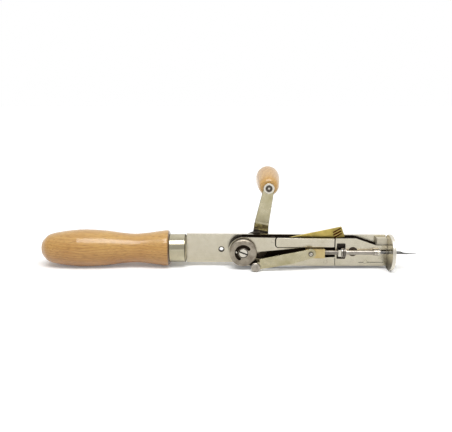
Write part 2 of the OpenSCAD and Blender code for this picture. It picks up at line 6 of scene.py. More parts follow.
import bmesh
import bpy
from bpy.props import FloatProperty, FloatVectorProperty, PointerProperty
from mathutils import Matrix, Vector

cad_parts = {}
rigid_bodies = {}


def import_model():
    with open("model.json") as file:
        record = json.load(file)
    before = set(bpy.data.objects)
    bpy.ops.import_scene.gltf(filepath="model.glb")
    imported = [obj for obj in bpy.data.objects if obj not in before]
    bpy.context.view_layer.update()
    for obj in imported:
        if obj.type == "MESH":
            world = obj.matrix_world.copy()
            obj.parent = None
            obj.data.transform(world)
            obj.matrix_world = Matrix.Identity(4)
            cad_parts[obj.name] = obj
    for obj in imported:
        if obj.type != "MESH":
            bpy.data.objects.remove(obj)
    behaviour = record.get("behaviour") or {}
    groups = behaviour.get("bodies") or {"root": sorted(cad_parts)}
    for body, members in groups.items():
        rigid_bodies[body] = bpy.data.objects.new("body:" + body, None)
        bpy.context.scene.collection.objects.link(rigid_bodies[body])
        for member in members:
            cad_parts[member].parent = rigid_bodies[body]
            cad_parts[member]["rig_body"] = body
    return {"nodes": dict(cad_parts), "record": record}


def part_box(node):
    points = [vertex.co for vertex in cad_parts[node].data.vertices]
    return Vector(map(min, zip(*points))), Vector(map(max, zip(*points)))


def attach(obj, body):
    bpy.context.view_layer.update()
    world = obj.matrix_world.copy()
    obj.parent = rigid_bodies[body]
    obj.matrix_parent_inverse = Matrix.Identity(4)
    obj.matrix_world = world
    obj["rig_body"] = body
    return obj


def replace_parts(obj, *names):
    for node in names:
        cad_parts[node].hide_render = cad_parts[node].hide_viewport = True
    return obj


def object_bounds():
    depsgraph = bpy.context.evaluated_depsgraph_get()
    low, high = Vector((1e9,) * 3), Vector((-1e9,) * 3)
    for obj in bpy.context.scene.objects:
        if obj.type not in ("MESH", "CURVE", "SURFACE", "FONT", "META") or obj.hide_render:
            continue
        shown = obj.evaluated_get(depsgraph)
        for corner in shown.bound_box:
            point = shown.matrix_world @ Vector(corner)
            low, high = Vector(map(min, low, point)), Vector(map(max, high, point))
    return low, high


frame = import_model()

bl_info = {
    "name": "Rug punch needle",
    "version": (1, 0, 0),
    "blender": (4, 5, 0),
    "location": "View3D > Sidebar > Punch needle",
    "description": "Finishes the pieces of a hand-cranked rug punch needle and sets its stage",
    "category": "Object",
}

MM = 0.001
CAD_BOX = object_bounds()
BODY_OF = {node: piece["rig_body"] for node, piece in frame["nodes"].items()}
MOUNT_AT = {row["name"]: Vector(row["pos_m"]) for row in frame["record"]["mounts"]}
JOINT_AT = {row["child"]: Vector(row["pos_m"]) for row in frame["record"]["behaviour"]["joints"]
            if "pos_m" in row}

# Sockets of a Mix node that is set to colours
FIRST, SECOND, MIXED = 6, 7, 2

# The crank arm and the thumb lever lie at these angles, and their tool lines follow them
CRANK_LEAN = math.radians(11)
LEVER_LEAN = math.radians(-11.9)

# Vertices closer than this are one, and faces that meet at less than this angle are one face
WELD = 0.002 * MM
FLAT = math.radians(0.5)

# Edges sharper than this get rounded over
CREASE = math.radians(28)

# A face further than this from the end of a piece is not the end's own face
INSIDE = 0.1 * MM

# A smear of oil and painted shade fades over twice this width at its rim
SOFT = 0.15 * MM


def linear(code):
    """An sRGB hex colour as linear red, green and blue."""
    parts = [int(code[i : i + 2], 16) / 255 for i in (1, 3, 5)]
    return [c / 12.92 if c <= 0.04045 else ((c + 0.055) / 1.055) ** 2.4 for c in parts]


def colour(name, description, code):
    """A colour that someone may change, given as sRGB hex."""
    return FloatVectorProperty(
        name=name, description=description, subtype="COLOR", size=3, min=0, max=1, default=linear(code)
    )


def length(name, description, millimetres):
    """A length that someone may change, given in millimetres."""
    return FloatProperty(name=name, description=description, unit="LENGTH", min=0, default=millimetres * MM)


def share(name, description, value):
    """An amount from 0 to 1 that someone may change."""
    return FloatProperty(name=name, description=description, subtype="FACTOR", min=0, max=1, default=value)


class WoodSettings(bpy.types.PropertyGroup):
    """The varnished beech of the grip and the knob"""

    pale: colour("Pale wood", "Early wood under the varnish", "#d8ae62")
    warm: colour("Warm wood", "Late wood in the growth bands", "#ab7230")
    fleck: colour("Flecks", "Short dark rays of the beech", "#744619")
    band: length("Growth bands", "Distance between two growth bands", 2.3)
    fleck_long: length("Fleck length", "Length of a dark ray along the grain", 8)
    fleck_wide: length("Fleck width", "Width of a dark ray", 0.5)
    seam: colour("Seam", "Old varnish and dirt where the wood meets a piece", "#4d3218")
    varnish: share("Varnish roughness", "How rough the varnish is", 0.1)


class MetalSettings(bpy.types.PropertyGroup):
    """The plated, turned, blackened and brass pieces"""

    nickel: colour("Nickel plate", "Satin nickel on the ground steel", "#ddd6c4")
    nickel_dull: colour("Dulled nickel", "Nickel gone yellow and grey with handling", "#bdb497")
    worn: colour("Worn nickel", "Nickel of the arm and the rod, yellow with age", "#cec6a9")
    worn_dull: colour("Olive nickel", "The same where the plating is nearly gone", "#a59b70")
    # Painted reflection: the bend's dark reflection is painted into this olive colour
    bend_shade: colour("Strained plating", "Olive and brown plating in the arm's bend", "#6f6642")
    ferrule: colour("Ferrule nickel", "Nickel of the ferrule", "#c8c1a8")
    ferrule_dull: colour("Dulled ferrule", "The same where the hand has dulled it", "#a89f82")
    bright: colour("Polished nickel", "Bright nickel on the turned pieces", "#e6e1d5")
    bright_dull: colour("Handled nickel", "Bright nickel where it has dulled", "#c2b9a6")
    steel: colour("Turned steel", "Oiled bare steel", "#b5ac9c")
    steel_dull: colour("Oily steel", "Bare steel under old oil", "#7b6f62")
    grey: colour("Grey steel", "Bare steel of the needle's bar and the pins", "#cbc4ba")
    grey_dull: colour("Dulled grey steel", "The same steel where yarn and fingers rub it", "#8f877b")
    needle: colour("Needle steel", "Bare steel of the needle", "#7f7e7d")
    needle_dull: colour("Dulled needle", "The same where yarn has rubbed it grey", "#565554")
    dark: colour("Dark steel", "Steel of the gears, black with old oil", "#5d5347")
    # The oiled dark steel also colours the faces painted dark as shade
    dark_oily: colour("Oiled dark steel", "The same steel where the oil has dried", "#39312a")
    black: colour("Blackened steel", "Heat blackened steel", "#221f1c")
    black_worn: colour("Worn black", "Blackened steel where it has rubbed", "#463f38")
    brass: colour("Brass", "Machined brass", "#d6bf6e")
    brass_dull: colour("Dull brass", "Brass gone olive and brown", "#a08d44")
    pale_brass: colour("Pale brass", "Brass of the crosshead", "#dcc893")
    pale_brass_dull: colour("Dull pale brass", "The same where it has dulled", "#b9a066")
    groove: colour("Brass grooves", "Tarnish in the lever's grooves", "#6a2a10")
    # Old oil also serves as painted shade: the corners, gaps and smears darkened with it stand for shade
    oil: colour("Old oil", "Dirt and dried oil in the corners", "#2e251c")
    oil_and_shade_reach: length("Reach of the oil", "How far the oil reaches out of a corner", 1.5)
    edge: length("Broken edge", "Radius of an edge that a file has broken", 0.25)


class StageSettings(bpy.types.PropertyGroup):
    """Camera, lamp and floor"""

    aim_x: length("Aim along the tool", "Where the middle of the view lies behind the foot", 145.6)
    aim_z: length("Aim height", "Height of the middle of the view above the needle axis", 32.9)
    distance: length("Camera distance", "Distance from the camera to that point", 512)
    tilt: FloatProperty(
        name="Camera tilt", description="How far the camera looks down", subtype="ANGLE",
        default=math.radians(12.5),
    )
    lens: FloatProperty(name="Lens", description="Focal length", unit="CAMERA", default=47)
    lamp: FloatProperty(name="Softbox", description="Power of the softbox", unit="POWER", default=9)
    sky: share("Room light", "Strength of the even light of the room", 0.45)
    dim: share("Dim side", "How bright a mirror sees the side of the room behind the camera", 0.55)
    glow: share("Floor glow", "How much brighter than its own light the floor near the tool looks", 0.12)
    far_glow: share("Far floor glow", "The same far from the tool, where the lamp is weak", 0.65)
    near: length("Near floor", "How far from the tool the floor glow begins to grow", 170)
    far: length("Far floor", "How far from the tool it is full", 910)


class PunchNeedleSettings(bpy.types.PropertyGroup):
    """The sizes and colours of the finished tool"""

    wood: PointerProperty(type=WoodSettings)
    metal: PointerProperty(type=MetalSettings)
    stage: PointerProperty(type=StageSettings)


def settings():
    """The sizes and colours that the scene holds."""
    return bpy.context.scene.punch_needle


def add(tree, kind, inputs=None, **choices):
    """Adds one node with its choices, and sets or links its inputs."""
    made = tree.nodes.new("ShaderNode" + kind)
    for name, value in choices.items():
        setattr(made, name, value)
    for key, value in (inputs or {}).items():
        if isinstance(value, bpy.types.NodeSocket):
            tree.links.new(value, made.inputs[key])
        elif made.inputs[key].type == "RGBA":
            made.inputs[key].default_value = (*value, 1)
        else:
            made.inputs[key].default_value = value
    return made


def material(name):
    """An empty material and its node tree."""
    made = bpy.data.materials.new(name)
    made.use_nodes = True
    made.node_tree.nodes.clear()
    return made, made.node_tree


# Varnished beech: yellow and brown bands, short dark rays along the grain, and a glossy coat that is
# smooth over the wood and gives one long highlight; real rays are about 0.2 mm wide and are drawn wider
# so that they show
def varnished_beech(name, grain, end=1.0):
    """Beech turned and varnished, with painted shade that makes it a little darker below, and dark where it
    ends against a piece of metal.

    grain is the axis that its fibres follow, and end is where on that axis the dirt lies, by default off
    the piece. The growth bands run round the heart of the tree, which lies outside the piece, and are drawn
    out along the grain. A wave of scale 1 repeats after the length called wave."""
    wood = settings().wood
    made, tree = material(name)
    place = add(tree, "TexCoord").outputs["Object"]
    along = {"X": (0, 0, 0), "Y": (0, 0, math.radians(90))}[grain]
    heart = (0, 12 * MM, -58 * MM)
    wave = 0.314

    grown = add(tree, "Mapping", {"Vector": place, "Location": heart, "Rotation": along,
                                  "Scale": (4 * MM, MM, MM)}, vector_type="TEXTURE")
    wander = add(tree, "TexNoise", {"Vector": grown.outputs[0], "Scale": 0.05, "Detail": 2.0})
    moved = add(tree, "VectorMath", {0: grown.outputs[0], 1: wander.outputs["Color"]}, operation="ADD")
    bands = add(tree, "TexWave", {"Vector": moved.outputs[0], "Scale": wave / (wood.band / MM),
                                  "Distortion": 7.0, "Detail": 3.0, "Detail Scale": 0.9},
                wave_type="RINGS", rings_direction="X", wave_profile="SIN")

    rays = add(tree, "Mapping", {"Vector": place, "Rotation": along,
                                 "Scale": (wood.fleck_long, wood.fleck_wide, wood.fleck_wide)},
               vector_type="TEXTURE")
    ray = add(tree, "TexNoise", {"Vector": rays.outputs[0], "Scale": 1.0, "Detail": 2.0})
    fleck = add(tree, "MapRange", {"Value": ray.outputs["Fac"], "From Min": 0.5, "From Max": 0.68,
                                   "To Min": 0.0, "To Max": 0.45})

    # Broad clouds, and painted shade that darkens the underside
    cloud = add(tree, "TexNoise", {"Vector": place, "Scale": 1 / (30 * MM), "Detail": 2.0})
    both = add(tree, "Math", {0: bands.outputs["Fac"], 1: 0.2, 2: 0.08}, operation="MULTIPLY_ADD")
    mixed = add(tree, "Math", {0: cloud.outputs["Fac"], 1: 0.55, 2: both.outputs[0]},
                operation="MULTIPLY_ADD")
    split = add(tree, "SeparateXYZ", {0: place})
    # Painted shade: the wood grows darker towards its underside, as if lit from above
    below = add(tree, "MapRange", {"Value": split.outputs["Z"], "From Min": 14 * MM, "From Max": -14 * MM,
                                   "To Min": -0.15, "To Max": 0.4})
    deep = add(tree, "Math", {0: mixed.outputs[0], 1: below.outputs[0]}, operation="ADD", use_clamp=True)

    ground = add(tree, "Mix", {0: deep.outputs[0], FIRST: wood.pale, SECOND: wood.warm},
                 data_type="RGBA")
    skin = add(tree, "Mix", {0: fleck.outputs[0], FIRST: ground.outputs[MIXED], SECOND: wood.fleck},
               data_type="RGBA")
    dirt = add(tree, "MapRange", {"Value": split.outputs[grain], "From Min": end - 1.4 * MM,
                                  "From Max": end - 0.5 * MM, "To Min": 0.0, "To Max": 0.85})
    aged = add(tree, "Mix", {0: dirt.outputs[0], FIRST: skin.outputs[MIXED], SECOND: wood.seam},
               data_type="RGBA")
    relief = add(tree, "Bump", {"Height": ray.outputs["Fac"], "Strength": 0.08, "Distance": 0.05 * MM})
    rough = add(tree, "MapRange", {"Value": cloud.outputs["Fac"], "From Min": 0.3, "From Max": 0.7,
                                   "To Min": 0.34, "To Max": 0.46})
    shader = add(tree, "BsdfPrincipled", {"Base Color": aged.outputs[MIXED], "Roughness": rough.outputs[0],
                                          "IOR": 1.5, "Coat Weight": 0.8, "Coat IOR": 1.5,
                                          "Coat Roughness": wood.varnish, "Normal": relief.outputs[0]})
    add(tree, "OutputMaterial", {"Surface": shader.outputs[0]})
    return made


def straight_lines(long, wide, turn=0.0):
    """Straight tool lines of that length and width, turned about the Y axis."""

    def lines(tree, place):
        return add(tree, "Mapping", {"Vector": place, "Rotation": (0, turn, 0), "Scale": (long, wide, wide)},
                   vector_type="TEXTURE").outputs[0]

    return lines


def turned_lines(node, axis, pitch):
    """Lines that run round the middle of a piece, as a turning tool leaves them."""

    def lines(tree, place):
        moved = add(tree, "Mapping", {"Vector": place, "Location": middle(node), "Scale": (pitch,) * 3},
                    vector_type="TEXTURE")
        across = (0, 1, 1) if axis == "X" else (1, 0, 1)
        flat = add(tree, "VectorMath", {0: moved.outputs[0], 1: across}, operation="MULTIPLY")
        radius = add(tree, "VectorMath", {0: flat.outputs[0]}, operation="LENGTH")
        split = add(tree, "SeparateXYZ", {0: moved.outputs[0]})
        return add(tree, "CombineXYZ", {"X": split.outputs[axis], "Y": radius.outputs["Value"]}).outputs[0]

    return lines


def oil_and_corner_shade(tree, place, smear, reach):
    """How much oil and painted shade lie on the surface: painted shade and oil in its corners, found by
    ambient occlusion as far out as reach, and where smear says.
    """
    corner = add(tree, "AmbientOcclusion", {"Distance": reach}, samples=6)
    near = add(tree, "MapRange", {"Value": corner.outputs["AO"], "From Min": 0.4, "From Max": 0.8,
                                  "To Min": 0.85, "To Max": 0.0}).outputs[0]
    if smear is None:
        return near
    return add(tree, "Math", {0: near, 1: smear(tree, place)}, operation="MAXIMUM").outputs[0]


def film(tree, off, half):
    """How much oil and painted shade lie on a stripe as wide as twice half, where off is the way from its
    middle line.
    """
    away = add(tree, "Math", {0: off}, operation="ABSOLUTE")
    return add(tree, "MapRange", {"Value": away.outputs[0], "From Min": half - SOFT, "From Max": half + SOFT,
                                  "To Min": 0.9, "To Max": 0.0}).outputs[0]


def ring(centre, inner, outer):
    """A smear of oil and painted shade between two radii round a line through centre, along the Y axis."""

    def smear(tree, place):
        moved = add(tree, "VectorMath", {0: place, 1: centre}, operation="SUBTRACT")
        flat = add(tree, "VectorMath", {0: moved.outputs[0], 1: (1, 0, 1)}, operation="MULTIPLY")
        radius = add(tree, "VectorMath", {0: flat.outputs[0]}, operation="LENGTH")
        off = add(tree, "Math", {0: radius.outputs["Value"], 1: (inner + outer) / 2}, operation="SUBTRACT")
        return film(tree, off.outputs[0], (outer - inner) / 2)

    return smear


def stripe(axis, line, half):
    """A smear of oil and painted shade across an axis, as wide as twice half."""

    def smear(tree, place):
        along = add(tree, "SeparateXYZ", {0: place}).outputs[axis]
        off = add(tree, "Math", {0: along, 1: line}, operation="SUBTRACT")
        return film(tree, off.outputs[0], half)

    return smear


def fade(axis, start, end, first, last):
    """A smear of oil and painted shade that goes from the amount first to the amount last between two places
    on an axis.
    """

    def smear(tree, place):
        along = add(tree, "SeparateXYZ", {0: place}).outputs[axis]
        return add(tree, "MapRange", {"Value": along, "From Min": start, "From Max": end,
                                      "To Min": first, "To Max": last}).outputs[0]

    return smear


def metal(name, clean, dull, roughness, lines, cloud=8 * MM, stain=0.3, relief=0.1, smear=None,
          reach=None, metallic=1.0):
    """A metal with fine tool lines, soft clouds where handling has dulled it, and old oil and painted shade
    in its corners.

    clean and dull are its two colours, and stain is how far the clouds, as wide as cloud, bring it from the
    first to the second. roughness is that of the clean metal, and relief how deep the tool lines look. lines
    makes the place of the tool lines, and smear, if given, how much oil and painted shade lies at a place.
    reach is how far the oil and painted shade come out of a corner. metallic is under 1 only for a plate that
    is blasted matt."""
    made, tree = material(name)
    place = add(tree, "TexCoord").outputs["Object"]
    scratch = add(tree, "TexNoise", {"Vector": lines(tree, place), "Scale": 1.0, "Detail": 3.0,
                                     "Roughness": 0.6})
    haze = add(tree, "TexNoise", {"Vector": place, "Scale": 1 / cloud, "Detail": 4.0, "Roughness": 0.62})
    worn = add(tree, "MapRange", {"Value": haze.outputs["Fac"], "From Min": 0.36, "From Max": 0.7,
                                  "To Min": 0.0, "To Max": stain})
    streak = add(tree, "MapRange", {"Value": scratch.outputs["Fac"], "From Min": 0.3, "From Max": 0.7,
                                    "To Min": 0.0, "To Max": 0.16})
    dulled = add(tree, "Math", {0: worn.outputs[0], 1: streak.outputs[0]}, operation="ADD", use_clamp=True)
    skin = add(tree, "Mix", {0: dulled.outputs[0], FIRST: clean, SECOND: dull}, data_type="RGBA")
    rough = add(tree, "MapRange", {"Value": dulled.outputs[0], "From Min": 0.0, "From Max": 0.8,
                                   "To Min": roughness, "To Max": roughness + 0.14})
    # The amount called oil is old oil and painted shade: ambient occlusion darkens the corners, and the
    # smears add painted shade
    oil = oil_and_corner_shade(tree, place, smear, reach or settings().metal.oil_and_shade_reach)
    coated = add(tree, "Mix", {0: oil, FIRST: skin.outputs[MIXED], SECOND: settings().metal.oil},
                 data_type="RGBA")
    sticky = add(tree, "Math", {0: oil, 1: 0.35, 2: rough.outputs[0]}, operation="MULTIPLY_ADD",
                 use_clamp=True)
    bump = add(tree, "Bump", {"Height": scratch.outputs["Fac"], "Strength": relief, "Distance": 0.02 * MM})
    shader = add(tree, "BsdfPrincipled", {"Base Color": coated.outputs[MIXED], "Metallic": metallic,
                                          "Roughness": sticky.outputs[0], "Normal": bump.outputs[0]})
    add(tree, "OutputMaterial", {"Surface": shader.outputs[0]})
    return made


def middle(node):
    """The middle of a piece's box at rest."""
    low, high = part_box(node)
    return (low + high) / 2


def ramp(value, start, end):
    """How far value has come from start to end, from 0 to 1."""
    return min(max((value - start) / (end - start), 0), 1)


# Satin nickel on ground steel: the eye gets a pale warm mirror that is blurred along the tool by the
# grinding lines; real lines are under 0.1 mm wide and are drawn at 0.5 mm so that they show
def satin_nickel(name, turn=0.0, smear=None, reach=None):
    use = settings().metal
    return metal(name, use.nickel, use.nickel_dull, 0.2,
                 straight_lines(22 * MM, 0.5 * MM, turn), smear=smear, reach=reach)


# The same plate on a piece that was blasted and not ground: matt, so it stays pale between the plates
def blasted_nickel(name):
    use = settings().metal
    return metal(name, use.nickel, use.nickel_dull, 0.5,
                 straight_lines(MM, MM), reach=0.3 * MM, metallic=0.4)


# The same plate worn thin by the hand: yellower and in softer clouds
def worn_nickel(name, turn=0.0):
    use = settings().metal
    return metal(name, use.worn, use.worn_dull, 0.24,
                 straight_lines(22 * MM, 0.5 * MM, turn), cloud=10 * MM, stain=0.55)


# Nickel plate in the arm's bend, painted olive and dark as a painted reflection of the dim room above, with
# brown clouds, and hardly a mirror any more
def bend_shade_nickel(name):
    use = settings().metal
    return metal(name, use.bend_shade, use.oil, 0.42,
                 straight_lines(8 * MM, 0.5 * MM), cloud=4 * MM, stain=0.9)


# Nickel plate of the ferrule: less white, but as bright a mirror
def aged_nickel(node, smear=None):
    use = settings().metal
    return metal(f"aged_nickel_{node}", use.ferrule, use.ferrule_dull, 0.12,
                 turned_lines(node, "X", 0.5 * MM),
                 cloud=6 * MM, stain=0.4, relief=0.06, smear=smear)


# Bright nickel, polished on the lathe: sharp light and dark bands along the piece
def polished_nickel(node, axis, smear=None, roughness=0.12):
    use = settings().metal
    return metal(f"polished_nickel_{node}", use.bright, use.bright_dull, roughness,
                 turned_lines(node, axis, 0.5 * MM),
                 cloud=6 * MM, stain=0.3, relief=0.06, smear=smear)


# Ground steel, bare: a grey mirror, darker than the bright pieces and lighter than the oiled ones
def grey_steel(node, axis, smear=None):
    use = settings().metal
    return metal(f"ground_steel_{node}", use.grey, use.grey_dull, 0.18,
                 turned_lines(node, axis, 0.5 * MM), cloud=5 * MM, stain=0.6, smear=smear)


# Needle steel, polished by the yarn: a sharp mirror in neutral grey
def needle_steel(node):
    use = settings().metal
    return metal(f"needle_steel_{node}", use.needle, use.needle_dull, 0.16,
                 turned_lines(node, "X", 0.5 * MM), cloud=3 * MM, stain=0.6, relief=0.06)


# Dark finish for grooves, holes, slots and inner faces: painted shade where shade falls, brown-black and dull
# like dried oil
def painted_shade_finish():
    made = bpy.data.materials.get("painted_shade_finish")
    if made is None:
        use = settings().metal
        made = metal("painted_shade_finish", use.dark_oily, use.oil, 0.55,
                     straight_lines(3 * MM, 0.6 * MM), cloud=3 * MM, stain=1.0, relief=0.2)
    return made


# Cut steel of the gears, black with old oil: the eye gets only a dull gleam
def oiled_steel(node, axis):
    use = settings().metal
    return metal(f"oiled_steel_{node}", use.dark, use.dark_oily, 0.36,
                 turned_lines(node, axis, 0.55 * MM), cloud=4 * MM, stain=0.8, relief=0.2)


# Oiled steel, faced on the lathe: grey-brown, with rings round its own axis
def turned_steel(node, axis, smear=None):
    use = settings().metal
    return metal(f"turned_steel_{node}", use.steel, use.steel_dull, 0.3,
                 turned_lines(node, axis, 0.55 * MM),
                 cloud=5 * MM, stain=0.8, relief=0.22, smear=smear)


# Blackened steel: nearly black, a little paler where it has rubbed
def blackened_steel(node, axis="Y"):
    use = settings().metal
    return metal(f"blackened_steel_{node}", use.black, use.black_worn, 0.34,
                 turned_lines(node, axis, 0.6 * MM), cloud=4 * MM, stain=0.6, relief=0.15)


# Machined brass: yellow with an olive cast where it has dulled, fine mill lines
def machined_brass(name, turn=0.0, clean=None, dull=None, smear=None):
    use = settings().metal
    return metal(name, clean or use.brass, dull or use.brass_dull, 0.26,
                 straight_lines(12 * MM, 0.5 * MM, turn),
                 cloud=7 * MM, stain=0.5, relief=0.12, smear=smear)


# Tarnish that stays in the cut grooves of the brass lever: rough and dark brown
def tarnished_brass():
    use = settings().metal
    return metal("tarnished_brass", use.groove, use.oil, 0.5,
                 straight_lines(3 * MM, 0.5 * MM, LEVER_LEAN),
                 cloud=2 * MM, stain=0.35, relief=0.3)


def paint(node, finish):
    """Gives a CAD piece that needs no change of shape its finish."""
    piece = frame["nodes"][node]
    piece.data.materials.clear()
    piece.data.materials.append(finish)


def edged(node, finish, radius=None, steps=2, shape=None):
    """A copy of a CAD piece with its sharp edges rounded over, which stands for it and moves with it.

    shape, if given, moves each corner of the copy."""
    mesh = frame["nodes"][node].data.copy()
    mesh.name = f"{node}_edged"
    if "custom_normal" in mesh.attributes:
        mesh.attributes.remove(mesh.attributes["custom_normal"])
    work = bmesh.new()
    work.from_mesh(mesh)
    bmesh.ops.remove_doubles(work, verts=work.verts, dist=WELD)
    bmesh.ops.dissolve_limit(work, angle_limit=FLAT, verts=work.verts, edges=work.edges)
    if shape:
        for corner in work.verts:
            shape(corner.co)
    work.to_mesh(mesh)
    work.free()
    mesh.materials.clear()
    mesh.materials.append(finish)
    mesh.shade_smooth()
    piece = bpy.data.objects.new(f"{node}_edged", mesh)
    bpy.context.scene.collection.objects.link(piece)
    rounding = piece.modifiers.new("Broken edges", "BEVEL")
    rounding.width = settings().metal.edge if radius is None else radius
    rounding.segments = steps
    rounding.limit_method = "ANGLE"
    rounding.angle_limit = CREASE
    rounding.use_clamp_overlap = True
    rounding.harden_normals = True
    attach(piece, BODY_OF[node])
    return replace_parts(piece, node)


def smeared(piece, finish, where):
    """Gives a second finish to the faces for which where, asked with middle and normal, is true."""
    piece.data.materials.append(finish)
    for face in piece.data.polygons:
        if where(face.center, face.normal):
            face.material_index = len(piece.data.materials) - 1


class PUNCH_OT_grip(bpy.types.Operator):
    """Turned grip of varnished beech"""

    bl_idname = "punch_needle.grip"
    bl_label = "Grip"

    def execute(self, context):
        paint("grip", varnished_beech("varnished_beech_grip", "X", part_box("ferrule")[0].x))
        return {"FINISHED"}


class PUNCH_OT_ferrule(bpy.types.Operator):
    """Bright ferrule between the grip and the bar"""

    bl_idname = "punch_needle.ferrule"
    bl_label = "Ferrule"

    def execute(self, context):
        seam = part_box("ferrule")[1].x - 0.9 * MM
        edged("ferrule", aged_nickel("ferrule", stripe("X", seam, 0.35 * MM)), 0.4 * MM, 3)
        return {"FINISHED"}


class PUNCH_OT_plates(bpy.types.Operator):
    """Back bar, front plate and strip of satin nickel plate, and the matt foot block"""

    bl_idname = "punch_needle.plates"
    bl_label = "Plates"

    # Corners of the nose's slope in the plane of the plate, in mm, before and after it is filed steeper
    slope = (((-38, 13), (-31, 13)), ((-13, 3.4), (-13, 5.6)), ((-3, 3.4), (-3, 5.6)))
    same = 0.1 * MM

    # The upper edge is filed down by up to this much. The cut grows along the tool between the first two
    # places, and up the plate between the other two
    filed_by = 1.05 * MM
    filed_from, filed_to = -130 * MM, -70 * MM
    uncut, edge = 12 * MM, 13 * MM

    hole = MOUNT_AT["hanging_hole"]

    def execute(self, context):
        # The plates' smear is painted shade in the gap at the strip's end
        seamed = satin_nickel("satin_nickel_plates", smear=self.gap_shade)
        edged("guide_strip", seamed, shape=self.filed)
        front = edged("front_plate", seamed, shape=self.nose)
        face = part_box("front_plate")[0].y
        # The front plate's inner faces and window walls get the dark finish: painted shade, which the bar's
        # mirror shows
        smeared(front, painted_shade_finish(), lambda place, normal: place.y > face + 2 * INSIDE)
        # The bar's smear is painted shade behind the front plate and round its hole
        bar = edged("back_bar", satin_nickel("satin_nickel_bar", smear=self.channel, reach=0.5 * MM),
                    shape=self.filed)
        # The wall of the hanging hole gets the dark finish: painted shade
        smeared(bar, painted_shade_finish(), self.in_hole)
        edged("foot_block", blasted_nickel("blasted_nickel_block"))
        return {"FINISHED"}

    def filed(self, place):
        """Lowers a plate's upper edge a little towards the foot, where a file has gone over it."""
        along = ramp(place.x, self.filed_from, self.filed_to)
        up = ramp(place.z, self.uncut, self.edge)
        place.z -= self.filed_by * along * up

    def nose(self, place):
        """Files the slope of the nose steeper."""
        for (x0, z0), (x1, z1) in self.slope:
            if abs(place.x - x0 * MM) < self.same and abs(place.z - z0 * MM) < self.same:
                place.x = x1 * MM
                place.z = z1 * MM
        self.filed(place)

    def in_hole(self, place, normal):
        """True for the wall of the hanging hole."""
        wall = 2.2 * MM
        return math.hypot(place.x - self.hole.x, place.z) < wall and abs(normal.y) < 0.5

    def gap_shade(self, tree, place):
        """Painted shade in the gap at the strip's end, above the needle's bar."""
        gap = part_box("guide_strip")[1].x + 0.4 * MM
        low, high = 3.4 * MM, 11.8 * MM
        across = stripe("X", gap, 0.65 * MM)(tree, place)
        height = stripe("Z", (low + high) / 2, (high - low) / 2)(tree, place)
        return add(tree, "Math", {0: across, 1: height}, operation="MULTIPLY").outputs[0]

    def channel(self, tree, place):
        """Painted shade on the bar's inner face behind the front plate, and a painted shade ring round the
        hanging hole.

        It ends above along the slope of the nose, and nearer the crank it covers the bar's full height."""
        behind_disc = -131 * MM
        inner_face = 11.3 * MM
        split = add(tree, "SeparateXYZ", {0: place})
        slope = add(tree, "MapRange", {"Value": split.outputs["X"], "From Min": -31 * MM,
                                       "From Max": -13 * MM, "To Min": 12.6 * MM, "To Max": 6.3 * MM})
        higher = add(tree, "MapRange", {"Value": split.outputs["X"], "From Min": -95 * MM,
                                        "From Max": -55 * MM, "To Min": 1.8 * MM, "To Max": 0.0})
        top = add(tree, "Math", {0: slope.outputs[0], 1: higher.outputs[0]}, operation="ADD")
        under = add(tree, "Math", {0: split.outputs["Z"], 1: top.outputs[0]}, operation="LESS_THAN")
        past = add(tree, "Math", {0: split.outputs["X"], 1: behind_disc}, operation="GREATER_THAN")
        side = add(tree, "Math", {0: split.outputs["Y"], 1: inner_face}, operation="LESS_THAN")
        here = add(tree, "Math", {0: under.outputs[0], 1: past.outputs[0]}, operation="MULTIPLY")
        inner = add(tree, "Math", {0: here.outputs[0], 1: side.outputs[0]}, operation="MULTIPLY")
        round_hole = ring(self.hole, 1.6 * MM, 2.7 * MM)(tree, place)
        return add(tree, "Math", {0: inner.outputs[0], 1: round_hole}, operation="MAXIMUM").outputs[0]


class PUNCH_OT_pillars(bpy.types.Operator):
    """Pillars and pin between the plates, and the screw at the nose"""

    bl_idname = "punch_needle.pillars"
    bl_label = "Pillars and screw"

    def execute(self, context):
        pillars = edged("pillars", satin_nickel("satin_nickel_pillars"), 0.15 * MM)
        front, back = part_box("front_plate")[1].y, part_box("back_bar")[0].y
        # Between the plates the pillars get the dark finish: painted shade
        smeared(pillars, painted_shade_finish(), lambda place, normal: front + INSIDE < place.y < back - INSIDE)
        edged("lever_pin", turned_steel("lever_pin", "Y"), 0.15 * MM)
        edged("pillar_screw", oiled_steel("pillar_screw", "Y"), 0.2 * MM)
        return {"FINISHED"}


class PUNCH_OT_guide(bpy.types.Operator):
    """Guide block with its grooved bushing and nut"""

    bl_idname = "punch_needle.guide"
    bl_label = "Needle guide"

    def execute(self, context):
        edged("guide_block", blackened_steel("guide_block", "X"))
        edged("guide_bushing", grey_steel("guide_bushing", "X", self.ribs), 0.08 * MM, 1)
        edged("guide_nut", polished_nickel("guide_nut", "X"))
        return {"FINISHED"}

    def ribs(self, tree, place):
        """Painted shade between the ribs of the bushing's knurled collar."""
        start, end = (corner.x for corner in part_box("guide_bushing"))
        pitch = (end - start) / 3
        first = stripe("X", start + pitch, 0.4 * MM)(tree, place)
        second = stripe("X", start + 2 * pitch, 0.4 * MM)(tree, place)
        return add(tree, "Math", {0: first, 1: second}, operation="MAXIMUM").outputs[0]


class PUNCH_OT_bushes(bpy.types.Operator):
    """Brass bushes of the two shafts"""

    bl_idname = "punch_needle.bushes"
    bl_label = "Bushes"

    def execute(self, context):
        brass = machined_brass("machined_brass_bushes")
        for node in ("drive_bushes", "crank_bush"):
            edged(node, brass, 0.15 * MM)
        return {"FINISHED"}


